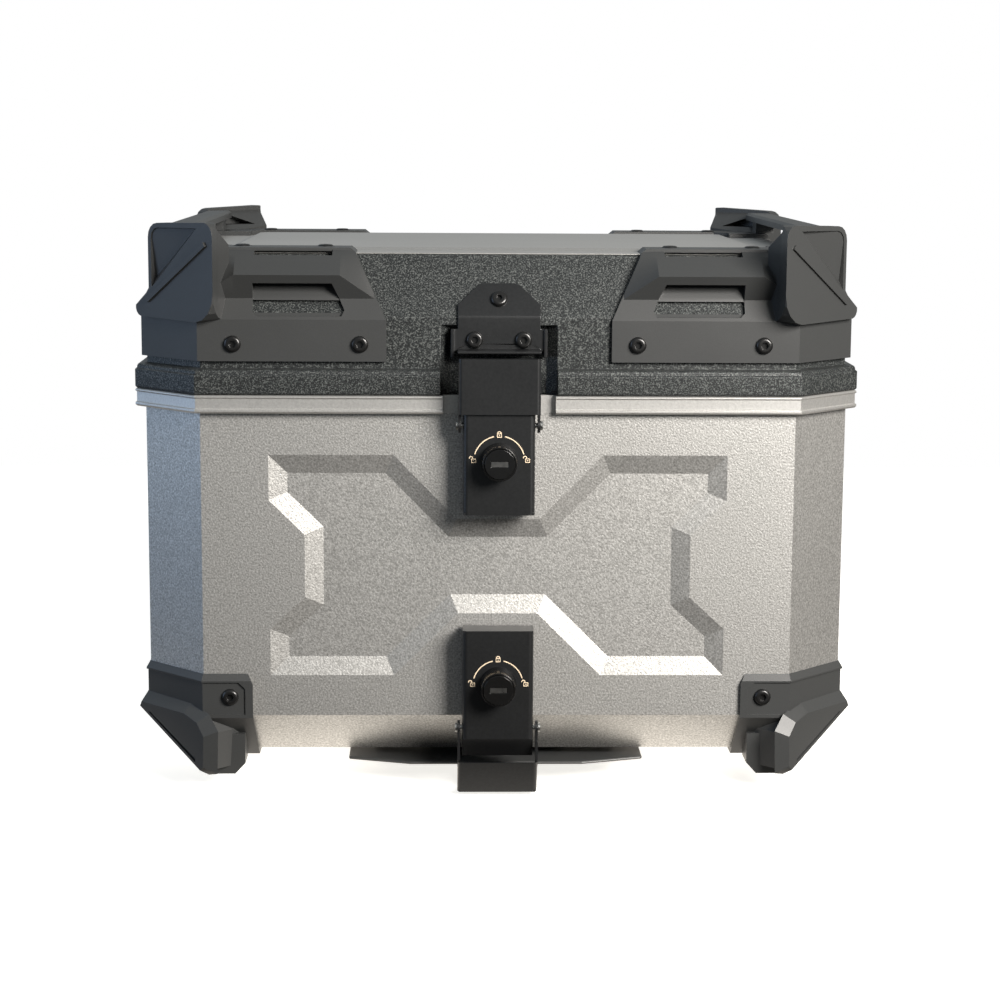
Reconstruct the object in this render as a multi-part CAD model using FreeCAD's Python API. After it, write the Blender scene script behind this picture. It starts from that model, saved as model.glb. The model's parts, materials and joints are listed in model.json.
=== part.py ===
import FreeCAD, Part
import math
import os

# Motorcycle top case: aluminium tub and lid, moulded corner guards, two key latches and
# a mounting plate.  Millimetres.  X is to the right, -Y is the latch side, Z is up.
# The origin is the middle of the mounting plate's underside.

V = FreeCAD.Vector

# ---- driving dimensions -------------------------------------------------------------
RIM_X, RIM_Y = 215.0, 161.0      # half width and half depth at the rim
RIM_CHAMFER = 38.9               # leg of the 45 degree corner at the rim
BODY_Z = 19.5                    # underside of the tub
BEVEL_Z = 46.8                   # top of the bevelled bottom edge
RIM_LOW, RIM_TOP = 227.4, 238.0  # rim frame of the tub
LID_LOW, BAND_TOP = 238.3, 252.6  # lid edge band
FOLD_Z, ROOF_Z = 283.0, 318.2    # lid: top of the upright wall, flat roof
PANEL_IN, BEVEL_IN = 6.0, 34.0   # tub wall and tub floor edge, inwards from the rim
LID_IN, ROOF_IN = 7.0, 28.7      # lid wall and roof edge, inwards from the rim
TUB_T, LID_T, PANEL_T = 1.5, 2.5, 0.9  # wall thicknesses and roof sheet
HINGE_Y, HINGE_Z, HINGE_R = 170.0, 238.15, 3.0
LATCH_X = 20.75                  # half width of a latch lever
UP_PIVOT, UP_PIN = (-163.0, 233.0), (-169.0, 222.0)
LOW_PIVOT, LOW_PIN = (-163.0, 32.0), (-169.0, 43.0)
LOCK_ZS = (201.9, 69.8)          # lock axes, upper and lower
FIT = 0.05                       # radial clearance of a running pin


# ---- geometry helpers ---------------------------------------------------------------
def octagon(inset, z):
    """Closed outline of the case, moved inwards from the rim, at height z."""
    x, y = RIM_X - inset, RIM_Y - inset
    c = RIM_CHAMFER - inset * (2 - math.sqrt(2))
    pts = [(x, c - y), (x, y - c), (x - c, y), (c - x, y),
           (-x, y - c), (-x, c - y), (c - x, -y), (x - c, -y)]
    return Part.makePolygon([V(px, py, z) for px, py in pts + pts[:1]])


def tier(inset_low, z_low, inset_high, z_high):
    """One straight-sided layer of the case between two outlines."""
    return Part.makeLoft([octagon(inset_low, z_low), octagon(inset_high, z_high)], True, True)


def stack(*levels):
    """Layers through successive (inset, z) levels, joined."""
    parts = [tier(*a, *b) for a, b in zip(levels, levels[1:])]
    return parts[0].fuse(parts[1:]).removeSplitter() if len(parts) > 1 else parts[0]


def box(x0, x1, y0, y1, z0, z1):
    return Part.makeBox(x1 - x0, y1 - y0, z1 - z0, V(x0, y0, z0))


def prism(points, direction):
    """Solid from a closed list of 3-D points, pulled along a vector."""
    return Part.Face(Part.makePolygon(points + points[:1])).extrude(direction)


def prism_x(yz, x0, x1):
    return prism([V(x0, y, z) for y, z in yz], V(x1 - x0, 0, 0))


def prism_y(xz, y0, y1):
    return prism([V(x, y0, z) for x, z in xz], V(0, y1 - y0, 0))


def prism_z(xy, z0, z1):
    return prism([V(x, y, z0) for x, y in xy], V(0, 0, z1 - z0))


def rod_x(x0, x1, y, z, r):
    return Part.makeCylinder(r, x1 - x0, V(x0, y, z), V(1, 0, 0))


def rod_y(y0, y1, x, z, r):
    return Part.makeCylinder(r, y1 - y0, V(x, y0, z), V(0, 1, 0))


def rod_z(z0, z1, x, y, r):
    return Part.makeCylinder(r, z1 - z0, V(x, y, z0))


def flip(shape, sx, sy):
    """Mirror a front right piece to another corner."""
    if sx < 0:
        shape = shape.mirror(V(0, 0, 0), V(1, 0, 0))
    if sy > 0:
        shape = shape.mirror(V(0, 0, 0), V(0, 1, 0))
    return shape


def round_edges(shape, radius, test):
    edges = [e for e in shape.Edges if test(e)]
    return shape.makeFillet(radius, edges) if edges else shape


def save(name, shapes):
    shapes = shapes if isinstance(shapes, list) else [shapes]
    solids = [s for shape in shapes for s in shape.Solids]
    bad = [s for s in solids if not s.isValid()]
    if bad:
        print("NOT VALID:", name, len(bad))
    whole = solids[0] if len(solids) == 1 else Part.makeCompound(solids)
    whole.exportStep("parts/" + name + ".step")


# ---- corner plane: s runs along the 45 degree corner towards the front ---------------
MID_X, MID_Y = RIM_X - RIM_CHAMFER / 2, RIM_CHAMFER / 2 - RIM_Y
R2 = math.sqrt(0.5)


def corner_point(s, out, z):
    return V(MID_X + (out - s) * R2, MID_Y - (out + s) * R2, z)


def corner_prism(sz, out_low, out_high):
    length = out_high - out_low
    return prism([corner_point(s, out_low, z) for s, z in sz], V(length * R2, -length * R2, 0))


# ---- fasteners ------------------------------------------------------------------------
HEAD_R, HEAD_H, SHANK_R, SOCKET_R = 4.9, 2.6, 2.4, 2.2
SCREW_HOLE_R = 2.5


def screw(at, out, length):
    """Button head socket screw: at is on the face, out is the face normal."""
    head = Part.makeCylinder(HEAD_R, HEAD_H, at, out)
    head = round_edges(head, 1.9, lambda e: abs((e.CenterOfMass - at).dot(out) - HEAD_H) < 0.01)
    shank = Part.makeCylinder(SHANK_R, length, at, out * -1)
    side = out.cross(V(0, 0, 1)) if abs(out.z) < 0.9 else V(1, 0, 0)
    up = out.cross(side)
    turns = [math.radians(60 * i) for i in range(6)]
    corners = [side * (SOCKET_R * math.cos(t)) + up * (SOCKET_R * math.sin(t)) for t in turns]
    socket = prism([at + out * (HEAD_H - 1.8) + c for c in corners], out * 2)
    return head.fuse(shank).cut(socket)


def screw_hole(at, out, length):
    return Part.makeCylinder(SCREW_HOLE_R, length + 1.0, at + out, out * -1)


UPPER_FACE_IN, LOWER_FACE_IN = 4.0, 3.4
FLANGE_IN, FLANGE_TOP = 52.0, 322.0
SINK = 1.5                       # depth of the sunk seats on the flanges


def upper_screw_places():
    y = UPPER_FACE_IN - RIM_Y
    places = [(V(x, y, 267.5), V(0, -1, 0)) for x in (80.5, 154.0)]
    places += [(V(x, y + 41, FLANGE_TOP - SINK), V(0, 0, 1)) for x in (102.0, 151.0)]
    return places


def lower_screw_places():
    return [(V(157.8, LOWER_FACE_IN + 1.0 - RIM_Y, 58.3), V(0, -1, 0))]


UPPER_SHANK, LOWER_SHANK = 10.0, 9.0


def four_corners(make):
    return [flip(make, sx, sy) for sy in (-1, 1) for sx in (-1, 1)]


# ---- tub ----------------------------------------------------------------------------
CROSS_DEPTH = 2.5


def cross_outline(grow):
    """Outline of the pressed cross on the front wall as (x, z), grown outwards."""
    half = [(24.4, 165.0), (61.3, 202.7), (134.3, 202.7), (134.3, 175.8), (113.4, 155.3), (113.4, 118.0),
            (134.0, 99.0), (134.0, 71.1), (61.0, 71.1), (23.4, 108.5)]
    pts = half + [(-x, z) for x, z in reversed(half)]
    wire = Part.makePolygon([V(x, 0, z) for x, z in pts + pts[:1]])
    if grow:
        wire = Part.Face(wire).makeOffset2D(grow, 2).OuterWire
    return wire


def pressed_cross(depth, grow):
    """Recess with 11 mm wide sloping sides, starting a little in front of the wall."""
    slope = 11.0 / CROSS_DEPTH
    front = cross_outline(grow + 0.5 * slope)
    back = cross_outline(grow - depth * slope)
    front.translate(V(0, PANEL_IN - RIM_Y - 0.5, 0))
    back.translate(V(0, PANEL_IN - RIM_Y + depth, 0))
    return Part.makeLoft([front, back], True, True)


def body_shell():
    outer = stack((BEVEL_IN, BODY_Z), (PANEL_IN, BEVEL_Z), (PANEL_IN, RIM_LOW))
    inner = stack((BEVEL_IN + TUB_T, BODY_Z + TUB_T), (PANEL_IN + TUB_T, BEVEL_Z + TUB_T),
                  (PANEL_IN + TUB_T, RIM_LOW + 1))
    shell = outer.cut(pressed_cross(CROSS_DEPTH, 0))
    shell = shell.cut(inner.cut(pressed_cross(CROSS_DEPTH + TUB_T, 1.0)))
    holes = [flip(screw_hole(at, out, LOWER_SHANK), sx, sy) for at, out in lower_screw_places()
             for sx in (-1, 1) for sy in (-1, 1)]
    holes += [rod_z(BODY_Z - 1, BODY_Z + 4, x, y, 3.2) for x, y in RAIL_BOLTS]
    return shell.cut(holes)


def body_rim():
    ring = stack((1, RIM_LOW), (0, RIM_LOW + 1), (0, RIM_LOW + 2.2), (0.9, RIM_LOW + 2.8),
                 (0.9, RIM_TOP - 2.0), (0, RIM_TOP - 1.4), (0, RIM_TOP - 0.8), (0.8, RIM_TOP))
    ring = ring.cut(tier(12, RIM_LOW - 1, 12, RIM_TOP + 1))
    skirt = tier(PANEL_IN + TUB_T + 0.1, 214, PANEL_IN + TUB_T + 0.1, RIM_LOW)
    skirt = skirt.cut(tier(10, 213, 10, RIM_LOW + 1))
    gap = box(-32.5, 33, -RIM_Y - 1, PANEL_IN - RIM_Y, RIM_LOW - 1, RIM_TOP + 1)
    return ring.fuse(skirt).cut(gap).removeSplitter()


def floor_mat():
    return tier(40, BODY_Z + TUB_T + 0.1, 38, BODY_Z + 4.6)


# ---- mounting plate under the tub -----------------------------------------------------
RAIL_BOLTS = [(x, y) for x in (-62.0, 62.0) for y in (-70.0, 70.0)]
SLOT_X, SLOT_Y, SLOT_R, SLOT_L = 110.0, 80.0, 3.5, 30.0
PLATE_X, PLATE_Y, PLATE_T = 88.0, 110.0, 6.0


def slot_cut(x, y, z0, z1, r, length):
    half = length / 2 - r
    return box(x - half, x + half, y - r, y + r, z0, z1).fuse([rod_z(z0, z1, x - half, y, r),
                                                               rod_z(z0, z1, x + half, y, r)])


def mount_plate():
    """Plate that stays on the rack: slotted for rack bolts, with a front tongue for the hook."""
    plate = prism_z([(-PLATE_X, -60), (-60, -88), (60, -88), (PLATE_X, -60), (PLATE_X, 90), (70, PLATE_Y),
                     (-70, PLATE_Y), (-PLATE_X, 90)], 0, PLATE_T)
    strip = prism_z([(-52, -143), (52, -143), (89, -131), (89, -104), (-89, -104), (-89, -131)], 13.0, 15.0)
    bridge = box(-44, 44, -122, -84, 9.5, 13.0).fuse(box(-44, 44, -88, -82, 2.0, 9.5))
    tongue = box(-17, 17, -163, -100, 5.5, 9.5)
    plate = plate.fuse([strip, bridge, tongue])
    for x in (-SLOT_X / 2, SLOT_X / 2):
        for y in (-SLOT_Y / 2, SLOT_Y / 2):
            plate = plate.cut(slot_cut(x, y, -1, PLATE_T + 1, SLOT_R, SLOT_L))
    return plate.removeSplitter()


def case_rail(side):
    """Runner bolted under the tub that sits on the plate."""
    x = 62.0 * side
    rail = box(x - 12, x + 12, -98, 100, PLATE_T, BODY_Z)
    return rail.cut([rod_z(PLATE_T - 1, BODY_Z + 1, bx, by, 3.2) for bx, by in RAIL_BOLTS])


def rail_bolt(x, y):
    head = rod_z(BODY_Z + TUB_T, BODY_Z + TUB_T + 2.2, x, y, 6.0)
    return head.fuse(rod_z(PLATE_T + 0.5, BODY_Z + TUB_T, x, y, 3.0))


# ---- lid ----------------------------------------------------------------------------
def latch_pocket(grow):
    y = LID_IN - RIM_Y
    return prism_z([(-34 - grow, -RIM_Y - 1), (34 + grow, -RIM_Y - 1), (34 + grow, y + grow * 0.4),
                    (28 + grow, y + 7 + grow), (-28 - grow, y + 7 + grow), (-34 - grow, y + grow * 0.4)],
                   LID_LOW - 1 + grow * 0.4, 278.5 + grow)


def lid_shell():
    outer = stack((0.8, LID_LOW), (0, LID_LOW + 0.8), (0, BAND_TOP - 3.2), (1.2, BAND_TOP - 2.4),
                  (1.2, BAND_TOP - 1.2), (2.0, BAND_TOP), (LID_IN, BAND_TOP + 0.6), (LID_IN, FOLD_Z),
                  (ROOF_IN, ROOF_Z))
    inner = stack((12, LID_LOW - 1), (12, LID_LOW + 3), (LID_IN + LID_T, LID_LOW + 5),
                  (LID_IN + LID_T, FOLD_Z - 0.7), (ROOF_IN + LID_T, ROOF_Z - LID_T))
    shell = outer.cut(inner.cut(latch_pocket(LID_T))).cut(latch_pocket(0))
    cuts = [flip(screw_hole(at, out, UPPER_SHANK), sx, sy) for at, out in upper_screw_places()
            for sx in (-1, 1) for sy in (-1, 1)]
    cuts += [screw_hole(at, out, BRACKET_SHANK) for at, out in bracket_screw_places()]
    cuts += [tier(7.6, LID_LOW - 1, 7.6, LID_LOW + 2.0).cut(tier(10.6, LID_LOW - 1, 10.6, LID_LOW + 2.0))]
    return shell.cut(cuts)


def lid_seal():
    ring = tier(7.7, LID_LOW - 0.2, 7.7, LID_LOW + 1.9).cut(tier(10.5, LID_LOW - 1, 10.5, LID_LOW + 3))
    return ring.cut(latch_pocket(0))


def lid_top_panel():
    """Bright sheet on the roof with a raised field; the guards' flanges lie on its edge."""
    sheet = tier(ROOF_IN + 0.8, ROOF_Z, ROOF_IN + 0.8, ROOF_Z + PANEL_T)
    field = tier(FLANGE_IN + 2, ROOF_Z + PANEL_T, FLANGE_IN + 6, ROOF_Z + 2.7)
    panel = sheet.fuse(field).removeSplitter()
    return panel.cut([flip(screw_hole(at, out, UPPER_SHANK), sx, sy) for at, out in upper_screw_places()
                      for sx in (-1, 1) for sy in (-1, 1)])


# ---- upper corner guards ---------------------------------------------------------------
def guard_zone():
    """Space that a front right guard keeps to: its two wing ends lean back with height."""
    front = prism_y([(67, 240), (65.4, 259), (65.4, 281.6), (83.5, 319.5), (86.5, 322), (86.5, 345),
                     (235, 345), (235, 240)], -190, 0)
    side = prism_x([(-190, 240), (-190, 345), (-88, 345), (-88, 321), (-70, 281.6), (-70, 240)], 0, 240)
    return front.common(side)


def loop_section(x, front, brow):
    """Tie-down bar section at x as (inset, height) points, front edge and upper brow given."""
    pts = [(10, 293.4), front, brow, (26.5, 321), (28, 321), (11.5, 293.4)]
    return Part.makePolygon([V(x, inset - RIM_Y, z) for inset, z in pts + pts[:1]])


def guard_loop():
    full = [(3.0, 307.3), (21, 318)]
    faded = [(9.9, 293.7), (24.2, 317.4)]
    turned = [(5.0, 299.5), (21, 318)]
    stations = [(72.6, faded), (92.0, full), (153.0, full), (165.0, turned), (172.0, turned)]
    wires = [loop_section(x, *shape) for x, shape in stations]
    return [Part.makeLoft(list(pair), True, True) for pair in zip(wires, wires[1:])]


def loop_window():
    """Window under the bar, up behind it and out through the strap slot."""
    pts = [(0, 283.5), (0, 302.4), (7.5, 302.4), (11.5, 305), (20.6, 314), (20.6, 327), (26, 327), (26, 320),
           (29.5, 319.5), (30, 318), (26.6, 315.6), (23.4, 316.6), (11.0, 295.0), (10.2, 292.4),
           (12.8, 292.2), (7.1, 283.5)]
    passage = prism_x([(inset - RIM_Y, z) for inset, z in pts], 89.5, 142.5)
    outline = prism_y([(91.5, 283), (139.5, 283), (142.5, 286), (142.5, 330), (97, 330), (97, 303),
                       (89.5, 287)], -RIM_Y - 5, -100)
    return passage.common(outline)


def arc_points(s, z, radius, start, stop, steps=4):
    """Points of an arc on the corner plane, angles in degrees."""
    angles = [math.radians(start + (stop - start) * i / steps) for i in range(steps + 1)]
    return [(s + radius * math.cos(a), z + radius * math.sin(a)) for a in angles]


def bumper():
    """Thick plate across the corner: a rib runs corner to corner below a sunk triangle."""
    outline = arc_points(-4.5, 327.5, 8.5, 180, 90) + arc_points(37.5, 329.3, 8.0, 85, 0)
    outline += arc_points(28.0, 297.5, 17.5, 0, -85) + arc_points(-20.0, 286.5, 5.5, -100, -190)
    outline += [(-15.5, 295.0), (-13.0, 298.0)]
    face = corner_prism(outline, -45, 0)
    end, side = corner_point(45.5, 0, 0), corner_point(-26, 0, 0)
    plan = prism_z([(end.x, end.y), (161.5, -160), (156.5, -146), (186, -108), (211.5, -117),
                    (side.x, side.y)], 270, 345)
    behind = ((-8, 345), (-8, 334), (-34, 318), (-70, 318), (-70, 345))
    back = [corner_point(-70, out, z) for out, z in behind]
    block = face.common(plan).cut(prism(back, V(-150 * R2, -150 * R2, 0)))
    pocket = [(-4, 325), (22, 325), (6, 331.5), (-4, 331.5)]
    block = block.cut(corner_prism(pocket, -30, -8.5))
    sunk = [(-10.3, 297.6)] + arc_points(-3.8, 326.8, 6.5, 180, 90, 3) + [(32.0, 333.8)]
    low = [corner_point(s, -0.8, z) for s, z in sunk]
    deep = [corner_point(-10.1, -3.2, 303.8), corner_point(27.0, -3.2, 333.3)]
    outer = [corner_point(s, 0.4, z) for s, z in sunk]
    block = block.cut(wedge_solid(low, deep, outer))
    rib = corner_prism([(-14.6, 292.0), (38.6, 326.3), (40.2, 323.9), (-13.0, 289.6)], -1, 1.4)
    return block.fuse(rib)


def wedge_solid(floor, deep, top):
    """Closed solid over a sunk floor that slopes down to one edge given by two deep points."""
    floor = [deep[0]] + floor[1:-1] + [deep[1]]
    middle = floor[len(floor) // 2]
    ring = floor + floor[:1]
    roof = top + top[:1]
    faces = [Part.Face(Part.makePolygon([ring[i], ring[i + 1], middle, ring[i]])) for i in range(len(floor))
             if middle not in (ring[i], ring[i + 1])]
    for i in range(len(floor)):
        faces.append(Part.Face(Part.makePolygon([ring[i], ring[i + 1], roof[i + 1], ring[i]])))
        faces.append(Part.Face(Part.makePolygon([ring[i], roof[i + 1], roof[i], ring[i]])))
    faces.append(Part.Face(Part.makePolygon(roof)))
    solid = Part.Solid(Part.Shell(faces))
    if solid.Volume < 0:
        solid.reverse()
    return solid


def upper_guard():
    skin = stack((UPPER_FACE_IN, 257.4), (UPPER_FACE_IN, 281.6), (10, 293.4), (26.5, FLANGE_TOP))
    solid = skin.fuse(guard_loop()).common(guard_zone()).fuse(bumper())
    keep_out = stack((LID_IN - 0.1, 240), (LID_IN - 0.1, FOLD_Z), (ROOF_IN - 0.1, ROOF_Z + PANEL_T + 0.1))
    flange = tier(FLANGE_IN, ROOF_Z - 1, FLANGE_IN, FLANGE_TOP + 40)
    solid = solid.cut([keep_out, flange, loop_window()]).removeSplitter()
    seats = [rod_z(at.z, at.z + 10, at.x, at.y, HEAD_R + 0.5)
             for at, out in upper_screw_places() if out.z > 0]
    return solid.cut(seats + [screw_hole(at, out, UPPER_SHANK) for at, out in upper_screw_places()])


def side_rail(guards):
    """Grab rail along one side, from front bumper to rear bumper."""
    rail = prism_y([(180, 329.5), (180, 333), (182, 334.5), (195, 334.5), (197, 333), (197, 326), (194, 326),
                    (194, 329.5)], -135, 135)
    legs = [box(182, 194, y - 9, y + 9, FLANGE_TOP, 329.5) for y in (-104, 104)]
    pieces = rail.fuse(legs).cut(guards).removeSplitter().Solids
    return max(pieces, key=lambda piece: piece.Volume)


# ---- lower corner guards ----------------------------------------------------------------
def wedge():
    """Proud triangular buffer: its outline shrinks from the skin to the face."""
    base = [(-30.0, 46.0), (-26.0, 54.0), (14.0, 53.0), (31.0, 48.5), (39.0, 39.5), (38.0, 13.5),
            (30.0, 11.5)]
    face = [(-27.5, 44.5), (-26.0, 47.5), (14.5, 47.3), (26.5, 43.6), (32.5, 36.0), (31.8, 17.5),
            (29.0, 15.0)]
    wires = [Part.makePolygon([corner_point(s, out, z) for s, z in pts + pts[:1]])
             for pts, out in ((base, -5.0), (face, 1.0))]
    back = corner_prism([(-28.0, 44.0), (-26.0, 50.0), (14.0, 49.0), (28.0, 45.0), (33.0, 37.0),
                         (32.0, 14.5)], -32, -4.9)
    return [Part.makeLoft(wires, True, True), back]


def lower_guard():
    skin = stack((32.0, 16.2), (LOWER_FACE_IN, 45.6), (LOWER_FACE_IN, 68.0), (PANEL_IN - 0.3, 72.0))
    front = prism_y([(152, 74), (147, 71.5), (144.6, 66), (144.5, 46), (142.8, 14), (240, 14), (240, 74)],
                    -190, 0)
    side = prism_x([(-190, 74), (-190, 14), (-91, 14), (-93, 46), (-93, 66), (-96, 71.5), (-101, 74)],
                   0, 240)
    wing = skin.common(front).common(side)
    sunk_front = prism_y([(149, 47.5), (176, 47.5), (176, 67), (153, 67), (149, 63)], -RIM_Y,
                         LOWER_FACE_IN + 1 - RIM_Y)
    sunk_side = prism_x([(-124, 47.5), (-97.5, 47.5), (-97.5, 63), (-101.5, 67), (-124, 67)],
                        RIM_X - LOWER_FACE_IN - 1, RIM_X)
    sunk_corner = corner_prism([(-26, 47.5), (-26, 67), (26, 67), (26, 47.5)], -LOWER_FACE_IN - 1, 4)
    groove = corner_prism([(-20, 42.4), (-17.5, 42.4), (24.5, 21.6), (24.5, 19.2)], -0.6, 2)
    foot = prism_y([(156, 9.5), (168, 9.5), (174, 16), (174, 34), (150, 34), (150, 16)], -150, -132)
    solid = wing.cut([sunk_front, sunk_side, sunk_corner]).fuse(wedge() + [foot]).cut(groove)
    keep_out = stack((BEVEL_IN - 0.1, BODY_Z - 0.1), (PANEL_IN - 0.1, BEVEL_Z), (PANEL_IN - 0.1, 90))
    inside = tier(62, 5, 62, BODY_Z + 1)
    solid = solid.cut([keep_out, inside]).removeSplitter()
    return solid.cut([screw_hole(at, out, LOWER_SHANK) for at, out in lower_screw_places()])


# ---- keeper bracket on the lid -----------------------------------------------------------
BRACKET_SHANK = 9.0
SLOPE = V(0, -(ROOF_Z - FOLD_Z), ROOF_IN - LID_IN).normalize()
BRACKET_T, KEEPER_Y, KEEPER_Z = 2.0, -172.0, 263.5


def slope_point(x, up, out):
    """Point on the sloping lid face, up along the slope and out from it."""
    along = V(0, ROOF_IN - LID_IN, ROOF_Z - FOLD_Z).normalize()
    return V(x, LID_IN - RIM_Y, FOLD_Z) + along * up + SLOPE * out


def bracket_screw_places():
    y = LID_IN - RIM_Y - BRACKET_T
    upright = [(V(x, y, 270.3), V(0, -1, 0)) for x in (-14.2, 14.2)]
    return upright + [(slope_point(0, 10.8, BRACKET_T), SLOPE)]


def lid_latch_bracket():
    outline = [(-24, 0), (24, 0), (24, 7.5), (12, 20.5), (9, 21.6), (-9, 21.6), (-12, 20.5), (-24, 7.5)]
    slope = prism([slope_point(x, up, 0.1) for x, up in outline], SLOPE * (BRACKET_T - 0.1))
    y = LID_IN - RIM_Y
    upright = prism_x([(y - 0.1, FOLD_Z), (y - BRACKET_T, FOLD_Z - 0.6), (y - BRACKET_T, KEEPER_Z),
                       (y - 0.1, KEEPER_Z)], -24, 24)
    bend = prism_x([(y - 0.1, FOLD_Z - 0.6), (y - BRACKET_T, FOLD_Z - 0.6), (y + SLOPE.y * BRACKET_T,
                    FOLD_Z + SLOPE.z * BRACKET_T), (y + SLOPE.y * 0.1, FOLD_Z + SLOPE.z * 0.1)], -24, 24)
    ledge = box(-24, 24, KEEPER_Y, y - 0.1, KEEPER_Z, KEEPER_Z + 1.5)
    cheeks = [box(x - 1, x + 1, y - BRACKET_T - 1.5, y + 6, 260, 276.5) for x in (-27, 27)]
    ties = [box(x0, x1, y - BRACKET_T, y - 0.1, KEEPER_Z, 276.5) for x0, x1 in ((-27, -23), (23, 27))]
    solid = slope.fuse([upright, bend, ledge] + cheeks + ties).removeSplitter()
    return solid.cut([screw_hole(at, out, BRACKET_SHANK) for at, out in bracket_screw_places()])


# ---- latches ---------------------------------------------------------------------------
LEVER_FACE, LEVER_T = -175.0, 1.5


def channel(x_half, y_front, y_back, z0, z1, wall, radius):
    """Sheet channel open at the back, with rounded front edges."""
    outer = box(-x_half, x_half, y_front, y_back, z0, z1)
    outer = round_edges(outer, radius, lambda e: e.Length > z1 - z0 - 0.1
                        and abs(e.CenterOfMass.y - y_front) < 0.1
                        and abs(abs(e.CenterOfMass.x) - x_half) < 0.1)
    return outer.cut(box(wall - x_half, x_half - wall, y_front + wall, y_back + 1, z0 - 1, z1 + 1))


def lever(z0, z1, pivot, pin, lock_z, closed_end_low):
    shell = channel(LATCH_X, LEVER_FACE, -157.6, z0, z1, LEVER_T, 3.0)
    if closed_end_low:
        end = box(-LATCH_X + 0.5, LATCH_X - 0.5, LEVER_FACE + 0.5, -158.5, z0, z0 + LEVER_T)
    else:
        end = box(-LATCH_X + 0.5, LATCH_X - 0.5, LEVER_FACE + 0.5, -158.5, z1 - LEVER_T, z1)
    shell = shell.fuse(end)
    holes = [rod_x(-30, 30, pivot[0], pivot[1], 2.0 + FIT), rod_x(-30, 30, pin[0], pin[1], 1.6),
             rod_y(-180, -170, 0, lock_z, LOCK_BORE)]
    return shell.cut(holes)


def upper_lever():
    return lever(170.4, 236.0, UP_PIVOT, UP_PIN, LOCK_ZS[0], True)


def lower_lever():
    """Lever whose foot slopes back under the front face."""
    shell = lever(25.4, 102.0, LOW_PIVOT, LOW_PIN, LOCK_ZS[1], False)
    under = prism_x([(-176, 25), (-176, 37.4), (-175, 37.4), (-167, 25.4), (-167, 25)], -30, 30)
    toe = prism_x([(-175, 37.4), (-173.4, 37.4), (-165.4, 25.4), (-167, 25.4)], 0.1 - LATCH_X, LATCH_X - 0.1)
    return shell.cut(under).fuse(toe)


EAR_T = 1.5


def latch_base(pivot, z0, z1):
    """Riveted bracket whose ears carry the lever pivot."""
    plate = box(-18.4, 18.4, -156.6, PANEL_IN - RIM_Y - 0.1, z0, z1)
    low, high = min(z0, pivot[1]), max(z1, pivot[1])
    ears = []
    for x in (-18.4, 16.9):
        eye = rod_x(x, x + EAR_T, pivot[0], pivot[1], 4.0)
        ears += [eye, box(x, x + EAR_T, pivot[0] - 4.0, -156.6, low, high)]
    holes = [rod_x(-30, 30, pivot[0], pivot[1], 2.0)]
    return plate.fuse(ears).cut(holes)


def pivot_pin(pivot):
    return rod_x(-LATCH_X - 0.1, LATCH_X + 0.1, pivot[0], pivot[1], 2.0)


def link_pins(pin):
    """Two stub pins riveted in the lever's cheeks."""
    return [rod_x(x0, x1, pin[0], pin[1], 1.6).fuse(rod_x(h0, h1, pin[0], pin[1], 2.7))
            for x0, x1, h0, h1 in ((19.2, 24.8, 23.8, 25.0), (-24.8, -19.2, -25.0, -23.8))]


LINK_X, LINK_T, LINK_FACE = 23.6, 1.5, -177.1


def link_ears(pin, arm_end, web):
    """Side cheeks of a link: an arm round the pin, and a web given as (y, z) points."""
    arm_z = sorted((pin[1], arm_end))
    ears = []
    for x in (-LINK_X, LINK_X - LINK_T):
        eye = rod_x(x, x + LINK_T, pin[0], pin[1], 4.2)
        arm = box(x, x + LINK_T, pin[0] - 3.6, pin[0] + 3.6, *arm_z)
        ear = eye.fuse([arm, prism_x(web, x, x + LINK_T)])
        ears.append(ear.cut(rod_x(x - 3, x + 3, pin[0], pin[1], 1.6 + FIT)))
    return ears


def upper_link():
    plate = channel(LINK_X, LINK_FACE, -173.2, 229.0, 261.0, LINK_T, 2.2)
    lip = box(-LINK_X + 1, LINK_X - 1, LINK_FACE + 0.5, -171.4, 259.5, 261.0)
    web = [(LINK_FACE + 0.5, 229), (-170.5, 229), (-170.5, 259), (LINK_FACE + 0.5, 259)]
    return plate.fuse(link_ears(UP_PIN, 238.0, web) + [lip]).removeSplitter()


def lower_link():
    """Hook that slopes back below the lever and turns in under the tongue."""
    high, foot = (LINK_FACE, 23.4), (-165.0, 2.4)
    plate = prism_x([high, foot, (-160, 2.4), (-160, 23.4)], -LINK_X, LINK_X)
    plate = round_edges(plate, 3.0, lambda e: abs(abs(e.CenterOfMass.x) - LINK_X) < 0.1 and e.Length > 20
                        and e.CenterOfMass.y < -168)
    inner = prism_x([(high[0] + 1.6, 30), (high[0] + 1.6, 23.0), (-165.2, 3.9), (-140, 3.9), (-140, 30)],
                    LINK_T - LINK_X, LINK_X - LINK_T)
    lip = box(0.8 - LINK_X, LINK_X - 0.8, -165.0, -158.0, 2.4, 3.9)
    trim = prism_x([(-170.5, 26), (-163.5, 12), (-163.5, 3.9), (-140, 3.9), (-140, 26)], -30, 30)
    web = [(-176.2, 36), (-170.5, 36), (-168.5, 22), (-172.5, 20), (-176.2, 25)]
    return plate.cut([inner, trim]).fuse(link_ears(LOW_PIN, 27.0, web) + [lip]).removeSplitter()


# ---- locks -----------------------------------------------------------------------------
LOCK_BORE, PLUG_R, PLUG_FACE = 7.6, 6.6, -188.6


def lock_bezel(z):
    cone = Part.makeCone(9.9, 10.9, 12.6, V(0, -187.6, z), V(0, 1, 0))
    body = cone.fuse(rod_y(-175.5, -166.0, 0, z, LOCK_BORE - 0.1))
    return body.cut([rod_y(-190, -160, 0, z, PLUG_R + FIT), rod_y(-190, -185.4, 0, z, 8.75)])


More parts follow.
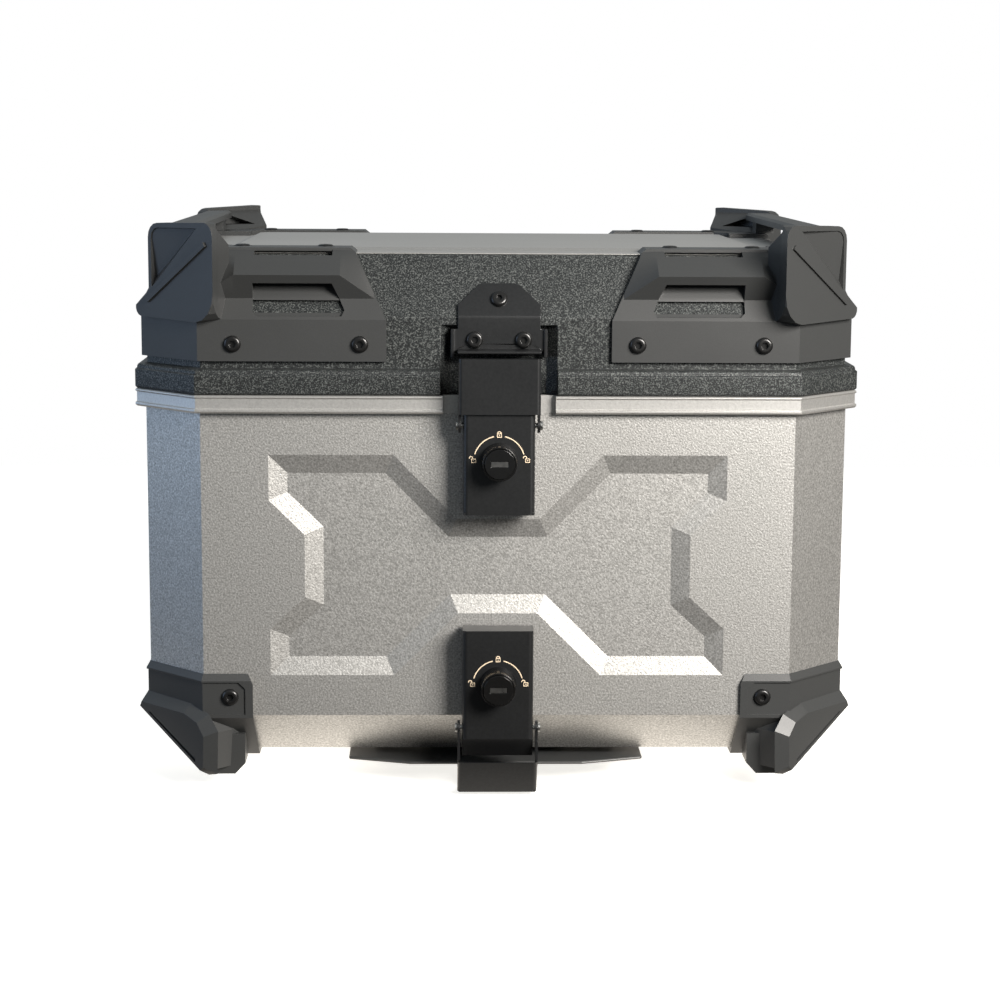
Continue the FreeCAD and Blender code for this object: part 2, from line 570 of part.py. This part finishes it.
def lock_plug(z):
    plug = rod_y(PLUG_FACE + 1.5, -164.6, 0, z, PLUG_R).fuse(rod_y(PLUG_FACE, -185.5, 0, z, 8.65))
    key = box(-5.0, 5.0, PLUG_FACE - 1, PLUG_FACE + 2.5, z - 1.65, z + 1.65)
    return plug.cut(key)


def lock_shutter(z):
    """Bright dust shutter behind the key slot."""
    return box(-4.9, 4.9, PLUG_FACE + 0.5, PLUG_FACE + 2.4, z - 1.55, z + 1.55)


def lock_nut(z):
    turns = [math.radians(60 * i) for i in range(6)]
    hexagon = [(11.2 * math.cos(t), z + 11.2 * math.sin(t)) for t in turns]
    return prism_y(hexagon, LEVER_FACE + LEVER_T, -169.5).cut(rod_y(-180, -160, 0, z, LOCK_BORE - 0.1))


def lock_cam(z):
    return prism_y([(-5, z - 6), (5, z - 6), (4, z + 13), (-4, z + 13)], -164.6, -162.9)


# ---- hinges at the back -------------------------------------------------------------------
HINGES = (-33.0, 33.0)
HINGE_HALF = 24.0               # half length of one hinge
KNUCKLE = 2 * HINGE_HALF / 5
KNUCKLE_GAP = 0.3


def knuckles(x, picks, gap):
    """Spans of the picked fifths of a hinge at x, each shortened by a gap at both ends."""
    start = x - HINGE_HALF
    return [(start + i * KNUCKLE + gap, start + (i + 1) * KNUCKLE - gap) for i in picks]


def hinge_leaf(x, plate, arm, spans, hole_r, keep_out):
    """Leaf plate, joined by an arm to each of its knuckles."""
    barrels = [rod_x(x0, x1, HINGE_Y, HINGE_Z, HINGE_R * 2) for x0, x1 in spans]
    arms = [prism_x(arm, x0, x1) for x0, x1 in spans]
    leaf = plate.fuse(barrels + arms).cut(keep_out)
    return leaf.cut(rod_x(x - 40, x + 40, HINGE_Y, HINGE_Z, hole_r)).removeSplitter()


def hinge_leaf_body(x):
    y = RIM_Y - PANEL_IN + 0.1
    plate = box(x - HINGE_HALF, x + HINGE_HALF, y, y + 2, 196, 224)
    arm = [(y, 222), (y + 2, 222), (165, 228), (170, 232.6), (170, 236.4), (162, 230.6), (y, 225.5)]
    clear = tier(0, RIM_LOW - 1, 0, RIM_TOP + 8)
    return hinge_leaf(x, plate, arm, knuckles(x, (0, 2, 4), 0), HINGE_R, clear)


def hinge_leaf_lid(x):
    y = RIM_Y - LID_IN + 0.1
    plate = box(x - HINGE_HALF, x + HINGE_HALF, y, y + 2, 256, 278)
    arm = [(y, 258), (y + 2, 258), (164.5, 252.5), (173, 244.2), (173, 240), (168, 243.2), (162.2, 250),
           (y, 255)]
    return hinge_leaf(x, plate, arm, knuckles(x, (1, 3), KNUCKLE_GAP), HINGE_R + FIT,
                      tier(0, LID_LOW - 8, 0, BAND_TOP + 0.7))


def hinge_pin(x):
    return rod_x(x - HINGE_HALF - 0.5, x + HINGE_HALF + 0.5, HINGE_Y, HINGE_Z, HINGE_R)


def rivet(at, out, length):
    head = Part.makeCylinder(3.6, 1.4, at, out)
    head = round_edges(head, 1.0, lambda e: abs((e.CenterOfMass - at).dot(out) - 1.4) < 0.01)
    return head.fuse(Part.makeCylinder(1.8, length, at, out * -1))


# ---- write everything -----------------------------------------------------------------------
def drill(places):
    return [Part.makeCylinder(1.9, 6, at + out, out * -1) for at, out in places]


def main():
    os.makedirs("parts", exist_ok=True)
    rear = V(0, 1, 0)
    body_rivets = [(V(x + dx, RIM_Y - PANEL_IN + 2.1, 208), rear) for x in HINGES for dx in (-17, 0, 17)]
    lid_rivets = [(V(x + dx, RIM_Y - LID_IN + 2.1, 268), rear) for x in HINGES for dx in (-17, 0, 17)]
    latch_rivets = [(V(dx, -156.6, z), V(0, -1, 0)) for z in (212.0, 58.0) for dx in (-11, 11)]

    save("body_shell", body_shell().cut(drill(body_rivets) + drill(latch_rivets)))
    save("body_rim", body_rim().cut(drill(latch_rivets)))
    save("floor_mat", floor_mat().cut([rod_z(18, 26, x, y, 8) for x, y in RAIL_BOLTS]))
    save("lid_shell", lid_shell().cut(drill(lid_rivets)))
    save("lid_seal", lid_seal())
    save("lid_top_panel", lid_top_panel())
    save("mount_plate", mount_plate())
    save("case_rail_left", case_rail(-1))
    save("case_rail_right", case_rail(1))
    save("case_rail_bolts", [rail_bolt(x, y) for x, y in RAIL_BOLTS])

    corners = ((-1, -1, "front_left"), (1, -1, "front_right"), (-1, 1, "rear_left"), (1, 1, "rear_right"))
    upper, lower = upper_guard(), lower_guard()
    uppers = []
    for sx, sy, name in corners:
        uppers.append(flip(upper, sx, sy))
        save("upper_guard_" + name, uppers[-1])
        save("lower_guard_" + name, flip(lower, sx, sy))
    rail = side_rail([uppers[1], uppers[3]])
    save("side_rail_right", rail)
    save("side_rail_left", flip(rail, -1, -1))
    upper_screws = [screw(at, out, UPPER_SHANK) for at, out in upper_screw_places()]
    lower_screws = [screw(at, out, LOWER_SHANK) for at, out in lower_screw_places()]
    save("upper_guard_screws", [c for s in upper_screws for c in four_corners(s)])
    save("lower_guard_screws", [c for s in lower_screws for c in four_corners(s)])

    save("lid_latch_bracket", lid_latch_bracket())
    save("bracket_screws", [screw(at, out, BRACKET_SHANK) for at, out in bracket_screw_places()])
    save("upper_latch_base", latch_base(UP_PIVOT, 204, 237).cut(drill(latch_rivets)))
    save("lower_latch_base", latch_base(LOW_PIVOT, 47.5, 66).cut(drill(latch_rivets)))
    save("latch_rivets", [rivet(at, out, 5.5) for at, out in latch_rivets])
    for tag, make_lever, make_link, pivot, pin, z in (
            ("upper", upper_lever, upper_link, UP_PIVOT, UP_PIN, LOCK_ZS[0]),
            ("lower", lower_lever, lower_link, LOW_PIVOT, LOW_PIN, LOCK_ZS[1])):
        save(tag + "_lever", make_lever())
        save(tag + "_link", make_link())
        save(tag + "_pivot_pin", pivot_pin(pivot))
        save(tag + "_link_pins", link_pins(pin))
        save(tag + "_lock_bezel", lock_bezel(z))
        save(tag + "_lock_plug", lock_plug(z))
        save(tag + "_lock_shutter", lock_shutter(z))
        save(tag + "_lock_nut", lock_nut(z))
        save(tag + "_lock_cam", lock_cam(z))

    for x, name in zip(HINGES, ("left", "right")):
        save("hinge_leaf_body_" + name, hinge_leaf_body(x).cut(drill(body_rivets)))
        save("hinge_leaf_lid_" + name, hinge_leaf_lid(x).cut(drill(lid_rivets)))
        save("hinge_pin_" + name, hinge_pin(x))
    save("hinge_rivets_body", [rivet(at, out, 4.5) for at, out in body_rivets])
    save("hinge_rivets_lid", [rivet(at, out, 5.5) for at, out in lid_rivets])


main()
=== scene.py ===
import json
import math
import bmesh
import bpy
from mathutils import Matrix, Vector


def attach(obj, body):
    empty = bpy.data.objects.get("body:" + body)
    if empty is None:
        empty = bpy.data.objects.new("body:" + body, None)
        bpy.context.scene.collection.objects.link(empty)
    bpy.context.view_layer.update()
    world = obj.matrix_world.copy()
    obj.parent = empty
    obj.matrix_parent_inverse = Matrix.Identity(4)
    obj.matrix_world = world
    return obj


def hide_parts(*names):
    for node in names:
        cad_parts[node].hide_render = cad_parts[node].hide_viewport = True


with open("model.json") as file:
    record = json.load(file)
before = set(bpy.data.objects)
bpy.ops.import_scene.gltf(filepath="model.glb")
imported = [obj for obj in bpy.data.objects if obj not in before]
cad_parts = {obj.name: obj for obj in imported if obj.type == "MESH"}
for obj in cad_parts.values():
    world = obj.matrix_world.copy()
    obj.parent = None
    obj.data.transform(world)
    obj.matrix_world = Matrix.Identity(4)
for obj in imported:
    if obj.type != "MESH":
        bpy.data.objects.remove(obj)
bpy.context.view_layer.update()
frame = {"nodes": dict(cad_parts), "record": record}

MM = 0.001

# ---- Camera, table and studio light --------------------------------------------------------------
# A long lens a little above the lid, square to the latch side.  The case stands on a white
# table under soft boxes: the key is high on the right, a cool fill comes from the left.
scene = bpy.context.scene
lens = bpy.data.cameras.new("studio_camera")
lens.sensor_width = 36.0
lens.lens = 82.49
lens.clip_end = 50.0
camera = bpy.data.objects.new("studio_camera", lens)
scene.collection.objects.link(camera)
scene.camera = camera
turn, tilt, roll = math.radians(-1.5), math.radians(90.0 - 9.033), math.radians(0.344)
aim = Matrix.Rotation(turn, 4, "Z") @ Matrix.Rotation(tilt, 4, "X") @ Matrix.Rotation(roll, 4, "Z")
camera.matrix_world = Matrix.Translation(Vector((-33.66, -1480.47, 387.03)) * MM) @ aim


def linear(hex_colour):
    """An sRGB hex colour as linear red, green, blue and alpha."""
    channels = [int(hex_colour[i:i + 2], 16) / 255 for i in (1, 3, 5)]
    return [c / 12.92 if c <= 0.04045 else ((c + 0.055) / 1.055) ** 2.4 for c in channels] + [1.0]


def node(tree, kind, links=(), **settings):
    """Adds one shader node, sets its inputs or properties, and links (socket, input name) pairs."""
    new = tree.nodes.new(kind)
    for name, value in settings.items():
        key = name.replace("_", " ")
        socket = next((s for s in new.inputs if s.name.lower() == key.lower()), None)
        if socket is not None and not hasattr(new, name):
            socket.default_value = value
        else:
            setattr(new, name, value)
    for source, target in links:
        tree.links.new(source, new.inputs[target])
    return new


def blank_material(name):
    """A material with only its output; returns it with its tree and output node."""
    material = bpy.data.materials.new(name)
    material.use_nodes = True
    tree = material.node_tree
    tree.nodes.clear()
    return material, tree, tree.nodes.new("ShaderNodeOutputMaterial")


def white_table():
    """Table top that the camera sees as white, and that lights the case only from a pool below it."""
    material, tree, out = blank_material("white_table")
    seen = node(tree, "ShaderNodeBsdfPrincipled", Base_Color=linear("#e8e8e6"), Roughness=0.6,
                Emission_Color=linear("#fffdf8"), Emission_Strength=0.78)
    place = node(tree, "ShaderNodeTexCoord")
    squeezed = node(tree, "ShaderNodeVectorMath", [(place.outputs["Object"], 0)], operation="MULTIPLY")
    squeezed.inputs[1].default_value = (1.4, 3.0, 0.0)
    pool = node(tree, "ShaderNodeTexGradient", [(squeezed.outputs["Vector"], "Vector")],
                gradient_type="SPHERICAL")
    level = node(tree, "ShaderNodeMapRange", [(pool.outputs["Fac"], "Value")],
                 From_Min=0.4, From_Max=0.6, To_Min=0.05, To_Max=1.7)
    cast = node(tree, "ShaderNodeEmission", [(level.outputs["Result"], "Strength")], Color=linear("#fff6ea"))
    rays = node(tree, "ShaderNodeLightPath")
    both = node(tree, "ShaderNodeMixShader", [(rays.outputs["Is Camera Ray"], "Fac")])
    tree.links.new(cast.outputs["Emission"], both.inputs[1])
    tree.links.new(seen.outputs["BSDF"], both.inputs[2])
    tree.links.new(both.outputs["Shader"], out.inputs["Surface"])
    return material


TABLE_HALF = 1.2    # metres
sheet = bmesh.new()
bmesh.ops.create_grid(sheet, x_segments=1, y_segments=1, size=TABLE_HALF)
table_mesh = bpy.data.meshes.new("table")
sheet.to_mesh(table_mesh)
sheet.free()
table = bpy.data.objects.new("table", table_mesh)
table_mesh.materials.append(white_table())
scene.collection.objects.link(table)


def soft_box(name, place, size, watts, colour, target=(0.0, 0.0, 0.16)):
    """A rectangular lamp that faces the middle of the case; places and sizes in metres."""
    light = bpy.data.lights.new(name, "AREA")
    light.shape = "RECTANGLE"
    light.size, light.size_y = size
    light.energy = watts
    light.color = linear(colour)[:3]
    lamp = bpy.data.objects.new(name, light)
    lamp.location = place
    lamp.rotation_euler = (Vector(target) - Vector(place)).to_track_quat("-Z", "Y").to_euler()
    scene.collection.objects.link(lamp)


def studio_walls():
    """White paper behind the camera's view, and the dim room that the case itself reflects."""
    studio = bpy.data.worlds.new("studio")
    studio.use_nodes = True
    tree = studio.node_tree
    tree.nodes.clear()
    direction = node(tree, "ShaderNodeTexCoord")
    axes = node(tree, "ShaderNodeSeparateXYZ", [(direction.outputs["Generated"], "Vector")])
    across = node(tree, "ShaderNodeMapRange", [(axes.outputs["X"], "Value")], From_Min=-1.0)
    sides = node(tree, "ShaderNodeValToRGB", [(across.outputs["Result"], "Fac")])
    sides.color_ramp.elements[0].color = (0.3, 0.37, 0.45, 1.0)
    sides.color_ramp.elements[1].color = (0.2, 0.195, 0.185, 1.0)
    middle = sides.color_ramp.elements.new(0.5)
    middle.color = (0.36, 0.38, 0.385, 1.0)
    depth = node(tree, "ShaderNodeMapRange", [(axes.outputs["Y"], "Value")],
                 From_Min=-1.0, From_Max=0.2, To_Min=0.45, To_Max=1.0)
    room = node(tree, "ShaderNodeVectorMath", [(sides.outputs["Color"], 0), (depth.outputs["Result"], 1)],
                operation="MULTIPLY")
    dim = node(tree, "ShaderNodeBackground", [(room.outputs["Vector"], "Color")], Strength=1.0)
    paper = node(tree, "ShaderNodeBackground", Color=(1.0, 1.0, 1.0, 1.0), Strength=1.0)
    rays = node(tree, "ShaderNodeLightPath")
    both = node(tree, "ShaderNodeMixShader", [(rays.outputs["Is Camera Ray"], "Fac")])
    tree.links.new(dim.outputs["Background"], both.inputs[1])
    tree.links.new(paper.outputs["Background"], both.inputs[2])
    out = tree.nodes.new("ShaderNodeOutputWorld")
    tree.links.new(both.outputs["Shader"], out.inputs["Surface"])
    return studio


soft_box("key", (0.85, -1.2, 0.84), (0.7, 0.6), 57.0, "#fffaf4")
soft_box("fill_left", (-1.6, -0.4, 0.5), (0.7, 1.0), 5.0, "#c4dcff")
scene.world = studio_walls()
scene.view_settings.view_transform = "Standard"

# ---- How every piece of the case is finished off -------------------------------------------------
# Sheet and mouldings have no knife edges: each shows a small radius that catches the light.
# Pieces too small for that, or hidden inside, only take their coat.
body_of = {name: body for body, names in frame["record"]["behaviour"]["bodies"].items() for name in names}


def coat(name, material):
    """Gives a CAD piece its real finish as it is."""
    piece = frame["nodes"][name]
    piece.data.materials.clear()
    piece.data.materials.append(material)


def add_piece(name, mesh_data, material, body):
    """Puts a mesh into the scene as a piece that rides on a body, with its finish."""
    piece = bpy.data.objects.new(name, mesh_data)
    scene.collection.objects.link(piece)
    mesh_data.materials.clear()
    mesh_data.materials.append(material)
    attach(piece, body)
    return piece


def eased(name, material, radius, steps=2, angle=14.0):
    """The same piece with its edges eased to a radius in millimetres."""
    source = bmesh.new()
    source.from_mesh(frame["nodes"][name].data)
    bmesh.ops.remove_doubles(source, verts=source.verts, dist=0.004 * MM)
    bmesh.ops.dissolve_limit(source, angle_limit=math.radians(0.4), verts=source.verts, edges=source.edges)
    bmesh.ops.connect_verts_concave(source, faces=source.faces)
    shape = bpy.data.meshes.new(name + "_eased")
    source.to_mesh(shape)
    source.free()
    for face in shape.polygons:
        face.use_smooth = True
    piece = add_piece(name + "_eased", shape, material, body_of[name])
    bevel = piece.modifiers.new("eased_edges", "BEVEL")
    bevel.width = radius * MM
    bevel.segments = steps
    bevel.limit_method = "ANGLE"
    bevel.angle_limit = math.radians(angle)
    bevel.miter_outer = "MITER_ARC"
    bevel.use_clamp_overlap = True
    level = piece.modifiers.new("level_faces", "WEIGHTED_NORMAL")
    level.weight = 100
    level.keep_sharp = True
    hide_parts(name)


# ---- Tub and rim frame ---------------------------------------------------------------------------
# Folded and pressed 1.5 mm aluminium with a silver sand-texture powder coat.  The grit of the
# cured powder sparkles on the upright front; the rim frame is the same metal, brighter.
GRIT = 1.1          # mm between grains, as coarse as it reads from two metres


def sand_coat(name, base, bright, dark, sparkle, roughness, metal, bump, grit=GRIT):
    """Powder coat: fine grit in colour and height over a broad mottling, between two extreme tones."""
    material, tree, out = blank_material(name)
    place = node(tree, "ShaderNodeTexCoord")
    grain = node(tree, "ShaderNodeTexNoise", [(place.outputs["Object"], "Vector")],
                 Scale=1000 / grit, Detail=2.0, Roughness=0.6)
    patch = node(tree, "ShaderNodeTexNoise", [(place.outputs["Object"], "Vector")], Scale=9.0, Detail=2.0)
    spread = node(tree, "ShaderNodeValToRGB", [(grain.outputs["Fac"], "Fac")])
    spread.color_ramp.elements[0].position = 0.5 - sparkle
    spread.color_ramp.elements[1].position = 0.5 + sparkle
    spread.color_ramp.elements[0].color = linear(dark)
    spread.color_ramp.elements[1].color = linear(bright)
    middle = spread.color_ramp.elements.new(0.5)
    middle.color = linear(base)
    shade = node(tree, "ShaderNodeMapRange", [(patch.outputs["Fac"], "Value")], To_Min=0.94, To_Max=1.06)
    tone = node(tree, "ShaderNodeVectorMath", [(spread.outputs["Color"], 0), (shade.outputs["Result"], 1)],
                operation="MULTIPLY")
    height = node(tree, "ShaderNodeBump", [(grain.outputs["Fac"], "Height")], Strength=bump,
                  Distance=0.15 * MM)
    skin = node(tree, "ShaderNodeBsdfPrincipled",
                [(tone.outputs["Vector"], "Base Color"), (height.outputs["Normal"], "Normal")],
                Roughness=roughness, Metallic=metal)
    tree.links.new(skin.outputs["BSDF"], out.inputs["Surface"])
    return material


silver_sand = sand_coat("silver_sand_powder_coat", "#bdbcb9", "#dad9d6", "#9b9a97", 0.22, 0.46, 0.85, 0.9)
silver_smooth = sand_coat("silver_rim_powder_coat", "#cbcac7", "#d6d5d2", "#bdbcb9", 0.3, 0.42, 0.85, 0.2)
eased("body_shell", silver_sand, 1.2, 2, 6.0)
eased("body_rim", silver_smooth, 0.3, 2)

# ---- Lid and roof sheet --------------------------------------------------------------------------
# Drawn aluminium lid in black sand-texture powder coat, with a bright roof sheet bonded on top.
black_sand = sand_coat("black_sand_powder_coat", "#282b2c", "#676a68", "#181a1a", 0.16, 0.42, 0.35, 0.8, 0.8)
roof_silver = sand_coat("roof_powder_coat", "#bab9b6", "#c2c1be", "#b0afac", 0.3, 0.45, 0.85, 0.1)
eased("lid_shell", black_sand, 0.7, 2)
eased("lid_top_panel", roof_silver, 0.4, 2)

# ---- Corner guards, rails and plate --------------------------------------------------------------
# Injection-moulded ABS, spark-eroded to a fine satin grain; screwed over every corner.


def moulded(name, colour, roughness, grain_mm, bump, metal=0.0):
    """Fine grain in the surface and faint cloudiness in the gloss: plastic, felt, ink or smooth coat."""
    material, tree, out = blank_material(name)
    place = node(tree, "ShaderNodeTexCoord")
    grain = node(tree, "ShaderNodeTexNoise", [(place.outputs["Object"], "Vector")],
                 Scale=1000 / grain_mm, Detail=3.0)
    cloud = node(tree, "ShaderNodeTexNoise", [(place.outputs["Object"], "Vector")], Scale=30.0, Detail=2.0)
    gloss = node(tree, "ShaderNodeMapRange", [(cloud.outputs["Fac"], "Value")],
                 To_Min=roughness - 0.05, To_Max=roughness + 0.05)
    height = node(tree, "ShaderNodeBump", [(grain.outputs["Fac"], "Height")], Strength=bump,
                  Distance=0.05 * MM)
    tint = node(tree, "ShaderNodeValToRGB", [(grain.outputs["Fac"], "Fac")])
    tint.color_ramp.elements[0].color = [c * 0.8 for c in linear(colour)[:3]] + [1.0]
    tint.color_ramp.elements[1].color = [min(1.0, c * 1.2) for c in linear(colour)[:3]] + [1.0]
    skin = node(tree, "ShaderNodeBsdfPrincipled",
                [(tint.outputs["Color"], "Base Color"), (gloss.outputs["Result"], "Roughness"),
                 (height.outputs["Normal"], "Normal")], IOR=1.5, Metallic=metal)
    tree.links.new(skin.outputs["BSDF"], out.inputs["Surface"])
    return material


satin_abs = moulded("satin_black_abs", "#343535", 0.42, 0.6, 0.5)
CORNERS = ("front_left", "front_right", "rear_left", "rear_right")
for corner in CORNERS:
    eased("upper_guard_" + corner, satin_abs, 1.2, 3)
    eased("lower_guard_" + corner, satin_abs, 1.1, 3)
for side in ("left", "right"):
    eased("side_rail_" + side, satin_abs, 1.0, 2)
    eased("case_rail_" + side, satin_abs, 1.0, 2)
eased("mount_plate", satin_abs, 1.0, 2)

# ---- Latches, keeper bracket and hinges ----------------------------------------------------------
# Pressed steel, smooth satin black powder coat with a faint orange peel.
black_steel = moulded("satin_black_steel", "#3c3d3e", 0.33, 1.6, 0.25, 0.8)
black_oxide = moulded("black_oxide_screws", "#141414", 0.3, 0.8, 0.2)
for name in ("lid_latch_bracket", "upper_lever", "upper_link", "lower_lever", "lower_link"):
    eased(name, black_steel, 0.35, 2)
for name in ("upper_latch_base", "lower_latch_base", "hinge_leaf_body_left", "hinge_leaf_body_right",
             "hinge_leaf_lid_left", "hinge_leaf_lid_right"):
    eased(name, black_steel, 0.3, 2)
for name in ("upper_guard_screws", "lower_guard_screws", "bracket_screws"):
    eased(name, black_oxide, 0.15, 2)


def plain_metal(name, colour):
    """Plain or plated steel, slightly cloudy."""
    material, tree, out = blank_material(name)
    place = node(tree, "ShaderNodeTexCoord")
    cloud = node(tree, "ShaderNodeTexNoise", [(place.outputs["Object"], "Vector")], Scale=400.0, Detail=2.0)
    gloss = node(tree, "ShaderNodeMapRange", [(cloud.outputs["Fac"], "Value")], To_Min=0.22, To_Max=0.4)
    skin = node(tree, "ShaderNodeBsdfPrincipled", [(gloss.outputs["Result"], "Roughness")],
                Base_Color=linear(colour), Metallic=1.0)
    tree.links.new(skin.outputs["BSDF"], out.inputs["Surface"])
    return material


zinc = plain_metal("zinc_plated_steel", "#b4b5b3")
dull_steel = plain_metal("dull_steel_shutter", "#8f8f8d")
coat("upper_lock_shutter", dull_steel)
coat("lower_lock_shutter", dull_steel)
for name in ("case_rail_bolts", "latch_rivets", "hinge_rivets_body", "hinge_rivets_lid", "upper_pivot_pin",
             "lower_pivot_pin", "upper_link_pins", "lower_link_pins", "hinge_pin_left", "hinge_pin_right",
             "upper_lock_nut", "lower_lock_nut", "upper_lock_cam", "lower_lock_cam"):
    coat(name, zinc)
gloss_black = moulded("gloss_black_casting", "#101010", 0.18, 2.0, 0.05)
for name in ("upper_lock_bezel", "lower_lock_bezel", "upper_lock_plug", "lower_lock_plug"):
    eased(name, gloss_black, 0.3, 3)

# ---- Marks round the locks -----------------------------------------------------------------------
# Pad-printed cream ink on each lever: arcs from the closed padlock on top to an open one each side.
INK_FRONT, INK_BACK = -175.07, -174.97      # millimetres, either side of the lever's face
ARC_R = 14.7
LOCK_Z = {"upper": 201.9, "lower": 69.8}


def ink_line(mesh, path, width, closed=False):
    """A printed line of the given width along (x, z) points, in millimetres."""
    rows = []
    for i, (x, z) in enumerate(path):
        before = path[i - 1] if closed or i else path[0]
        after = path[(i + 1) % len(path)] if closed or i + 1 < len(path) else path[i]
        run = math.hypot(after[0] - before[0], after[1] - before[1])
        nx = (before[1] - after[1]) / run * width / 2
        nz = (after[0] - before[0]) / run * width / 2
        rows.append([mesh.verts.new(Vector(corner) * MM) for corner in (
            (x + nx, INK_BACK, z + nz), (x + nx, INK_FRONT, z + nz),
            (x - nx, INK_FRONT, z - nz), (x - nx, INK_BACK, z - nz))])
    for one, two in zip(rows, rows[1:] + (rows[:1] if closed else [])):
        for k in range(4):
            mesh.faces.new((one[k], one[(k + 1) % 4], two[(k + 1) % 4], two[k]))
    if not closed:
        mesh.faces.new(rows[0])
        mesh.faces.new(rows[-1])


def arc_path(x, z, radius, start, stop, steps):
    """Points of an arc about (x, z), from one angle in degrees to another."""
    turns = [math.radians(start + (stop - start) * i / steps) for i in range(steps + 1)]
    return [(x + radius * math.cos(t), z + radius * math.sin(t)) for t in turns]


def padlock(mesh, x, z, shackle_x, shackle_z, start, stop):
    """A padlock's outline, keyhole and shackle; the shackle's arc shows it open or closed."""
    outline = [(x - 1.2, z - 1.0), (x + 1.2, z - 1.0), (x + 1.2, z + 1.0), (x - 1.2, z + 1.0)]
    ink_line(mesh, outline, 0.55, True)
    ink_line(mesh, [(x - 0.35, z), (x + 0.35, z)], 0.5)
    ink_line(mesh, arc_path(shackle_x, shackle_z, 0.95, start, stop, 8), 0.5)


def lock_marks(tag, lock_z, ink):
    """Both arcs and the three padlocks of one lock, printed on its lever."""
    mesh = bmesh.new()
    ink_line(mesh, arc_path(0.0, lock_z, ARC_R, 16.5, 77.5, 16), 0.6)
    ink_line(mesh, arc_path(0.0, lock_z, ARC_R, 102.5, 163.5, 16), 0.6)
    padlock(mesh, 0.0, lock_z + 15.0, 0.0, lock_z + 16.3, -10, 190)
    padlock(mesh, -14.8, lock_z + 0.3, -16.3, lock_z + 1.9, -30, 200)
    padlock(mesh, 16.3, lock_z + 0.5, 14.8, lock_z + 2.1, -30, 200)
    bmesh.ops.recalc_face_normals(mesh, faces=mesh.faces)
    data = bpy.data.meshes.new(tag + "_lock_marks")
    mesh.to_mesh(data)
    mesh.free()
    add_piece(tag + "_lock_marks", data, ink, body_of[tag + "_lever"])


cream_ink = moulded("cream_pad_print", "#e3cfb2", 0.5, 0.5, 0.1)
for tag, lock_z in LOCK_Z.items():
    lock_marks(tag, lock_z, cream_ink)

# ---- Floor mat and seal --------------------------------------------------------------------------
# Loose needled felt on the floor of the tub, and a soft rubber seal where the lid sits on the rim.
felt = moulded("needled_felt", "#26272a", 0.9, 0.8, 1.0)
epdm = moulded("epdm_seal", "#161616", 0.7, 0.8, 0.3)
coat("floor_mat", felt)
coat("lid_seal", epdm)
